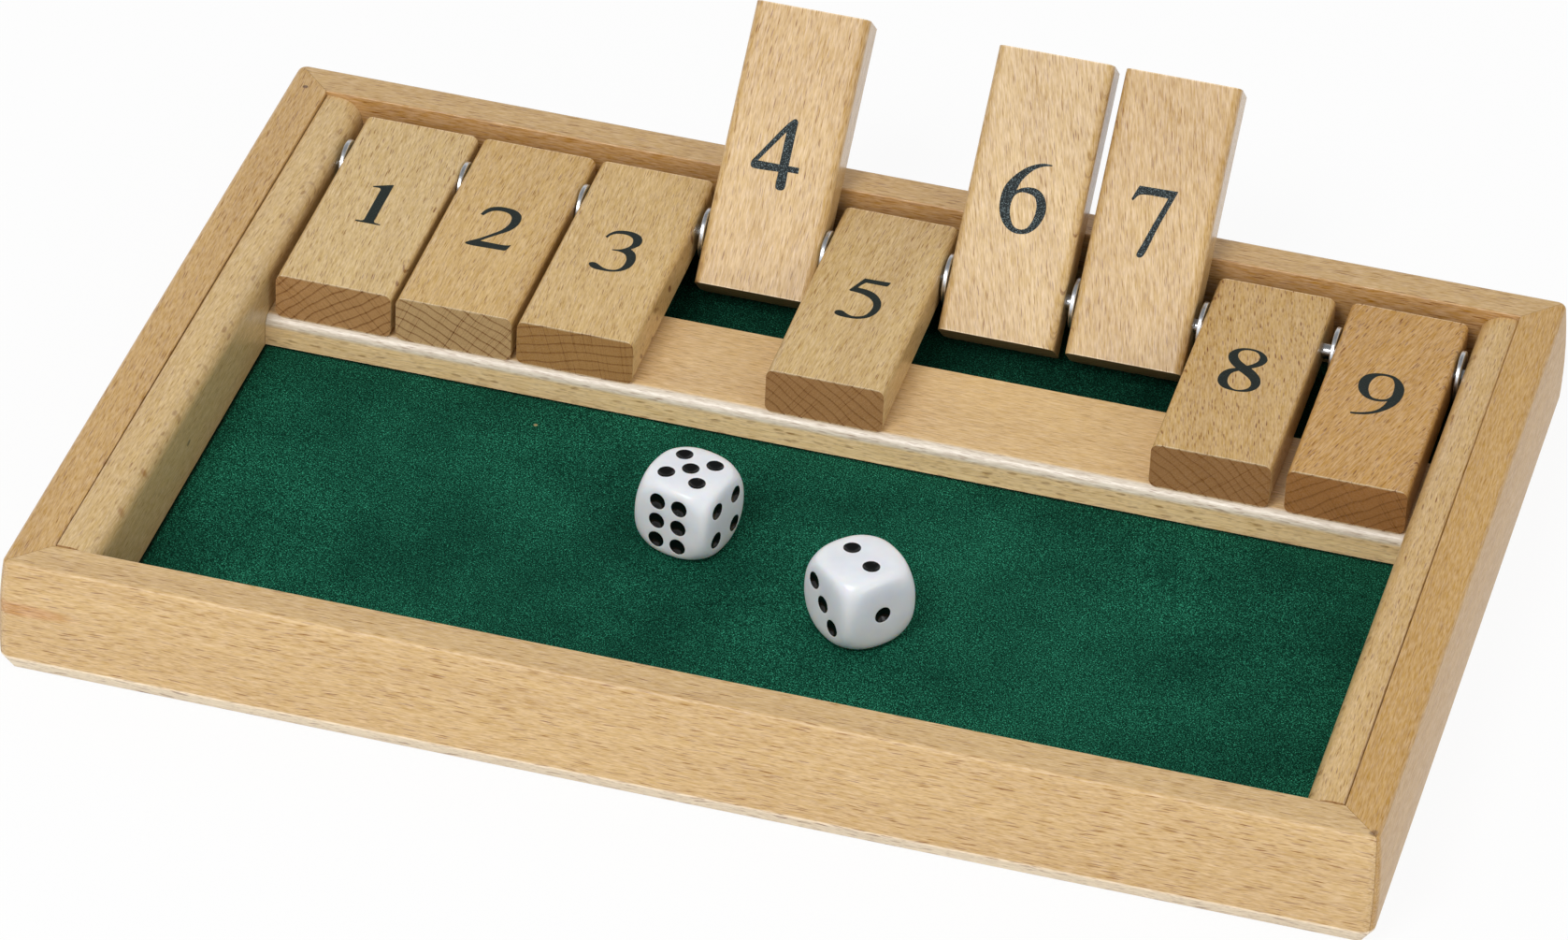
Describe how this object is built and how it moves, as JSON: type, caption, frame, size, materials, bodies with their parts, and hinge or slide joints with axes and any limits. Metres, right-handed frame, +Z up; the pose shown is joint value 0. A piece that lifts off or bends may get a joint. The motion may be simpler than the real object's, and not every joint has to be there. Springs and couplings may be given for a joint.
{
  "type": "shut the box game",
  "caption": "Beech tray with a felt floor, numbered wooden tiles that turn on a steel rod with washers, a rest bar and white dice.",
  "frame": {"origin": "centre of the underside, on the surface that the game stands on", "axes": "+Z up, +Y from the open tray towards the rod and the back rail, +X towards the highest number"},
  "size_m": [0.2566, 0.1895, 0.0542],
  "materials": {
    "front_rail": "satin lacquer on beech",
    "back_rail": "satin lacquer on beech",
    "left_rail": "satin lacquer on beech",
    "right_rail": "satin lacquer on beech",
    "left_cheek": "satin lacquer on beech",
    "right_cheek": "satin lacquer on beech",
    "rest_bar": "satin lacquer on beech",
    "base_board": "matt plywood",
    "felt_sheet": "dyed felt",
    "pivot_rod": "drawn",
    "tile_1": "satin lacquer on beech",
    "tile_2": "satin lacquer on beech",
    "tile_3": "satin lacquer on beech",
    "tile_4": "satin lacquer on beech",
    "tile_5": "satin lacquer on beech",
    "tile_6": "satin lacquer on beech",
    "tile_7": "satin lacquer on beech",
    "tile_8": "satin lacquer on beech",
    "tile_9": "satin lacquer on beech",
    "washers": "bright zinc",
    "dice": "polished"
  },
  "bodies": {
    "tray": {"front_rail": "front_rail", "back_rail": "back_rail", "left_rail": "left_rail", "right_rail": "right_rail", "left_cheek": "left_cheek", "right_cheek": "right_cheek", "rest_bar": "rest_bar", "base_board": "base_board", "felt_sheet": "felt_sheet", "pivot_rod": "pivot_rod"},
    "tile_1": {"tile_1": "tile_1"},
    "tile_2": {"tile_2": "tile_2"},
    "tile_3": {"tile_3": "tile_3"},
    "tile_4": {"tile_4": "tile_4"},
    "tile_5": {"tile_5": "tile_5"},
    "tile_6": {"tile_6": "tile_6"},
    "tile_7": {"tile_7": "tile_7"},
    "tile_8": {"tile_8": "tile_8"},
    "tile_9": {"tile_9": "tile_9"},
    "washer_1": {"washer_1": "washers"},
    "washer_2": {"washer_2": "washers"},
    "washer_3": {"washer_3": "washers"},
    "washer_4": {"washer_4": "washers"},
    "washer_5": {"washer_5": "washers"},
    "washer_6": {"washer_6": "washers"},
    "washer_7": {"washer_7": "washers"},
    "washer_8": {"washer_8": "washers"},
    "washer_9": {"washer_9": "washers"},
    "washer_10": {"washer_10": "washers"},
    "left_die": {"left_die": "dice"},
    "right_die": {"right_die": "dice"}
  },
  "joints": [
    {"name": "tile_1_hinge", "type": "hinge", "parent": "tray", "child": "tile_1", "pos_m": [0, 0.06603, 0.01747], "axis": [-1, 0, 0], "range_deg": [0, 134.6]},
    {"name": "tile_2_hinge", "type": "hinge", "parent": "tray", "child": "tile_2", "pos_m": [0, 0.06603, 0.01747], "axis": [-1, 0, 0], "range_deg": [0, 134.6]},
    {"name": "tile_3_hinge", "type": "hinge", "parent": "tray", "child": "tile_3", "pos_m": [0, 0.06603, 0.01747], "axis": [-1, 0, 0], "range_deg": [0, 134.6]},
    {"name": "tile_4_hinge", "type": "hinge", "parent": "tray", "child": "tile_4", "pos_m": [0, 0.06603, 0.01747], "axis": [-1, 0, 0], "range_deg": [-134.6, 0]},
    {"name": "tile_5_hinge", "type": "hinge", "parent": "tray", "child": "tile_5", "pos_m": [0, 0.06603, 0.01747], "axis": [-1, 0, 0], "range_deg": [0, 134.6]},
    {"name": "tile_6_hinge", "type": "hinge", "parent": "tray", "child": "tile_6", "pos_m": [0, 0.06603, 0.01747], "axis": [-1, 0, 0], "range_deg": [-134.6, 0]},
    {"name": "tile_7_hinge", "type": "hinge", "parent": "tray", "child": "tile_7", "pos_m": [0, 0.06603, 0.01747], "axis": [-1, 0, 0], "range_deg": [-134.6, 0]},
    {"name": "tile_8_hinge", "type": "hinge", "parent": "tray", "child": "tile_8", "pos_m": [0, 0.06603, 0.01747], "axis": [-1, 0, 0], "range_deg": [0, 134.6]},
    {"name": "tile_9_hinge", "type": "hinge", "parent": "tray", "child": "tile_9", "pos_m": [0, 0.06603, 0.01747], "axis": [-1, 0, 0], "range_deg": [0, 134.6]},
    {"name": "washer_1_spin", "type": "hinge", "parent": "tray", "child": "washer_1", "pos_m": [0, 0.06603, 0.01747], "axis": [1, 0, 0], "continuous": true},
    {"name": "washer_2_spin", "type": "hinge", "parent": "tray", "child": "washer_2", "pos_m": [0, 0.06603, 0.01747], "axis": [1, 0, 0], "continuous": true},
    {"name": "washer_3_spin", "type": "hinge", "parent": "tray", "child": "washer_3", "pos_m": [0, 0.06603, 0.01747], "axis": [1, 0, 0], "continuous": true},
    {"name": "washer_4_spin", "type": "hinge", "parent": "tray", "child": "washer_4", "pos_m": [0, 0.06603, 0.01747], "axis": [1, 0, 0], "continuous": true},
    {"name": "washer_5_spin", "type": "hinge", "parent": "tray", "child": "washer_5", "pos_m": [0, 0.06603, 0.01747], "axis": [1, 0, 0], "continuous": true},
    {"name": "washer_6_spin", "type": "hinge", "parent": "tray", "child": "washer_6", "pos_m": [0, 0.06603, 0.01747], "axis": [1, 0, 0], "continuous": true},
    {"name": "washer_7_spin", "type": "hinge", "parent": "tray", "child": "washer_7", "pos_m": [0, 0.06603, 0.01747], "axis": [1, 0, 0], "continuous": true},
    {"name": "washer_8_spin", "type": "hinge", "parent": "tray", "child": "washer_8", "pos_m": [0, 0.06603, 0.01747], "axis": [1, 0, 0], "continuous": true},
    {"name": "washer_9_spin", "type": "hinge", "parent": "tray", "child": "washer_9", "pos_m": [0, 0.06603, 0.01747], "axis": [1, 0, 0], "continuous": true},
    {"name": "washer_10_spin", "type": "hinge", "parent": "tray", "child": "washer_10", "pos_m": [0, 0.06603, 0.01747], "axis": [1, 0, 0], "continuous": true},
    {"name": "left_die_lift", "type": "slide", "parent": "tray", "child": "left_die", "axis": [0, 0, 1], "range_m": [0, 0.08]},
    {"name": "right_die_lift", "type": "slide", "parent": "tray", "child": "right_die", "axis": [0, 0, 1], "range_m": [0, 0.08]}
  ]
}
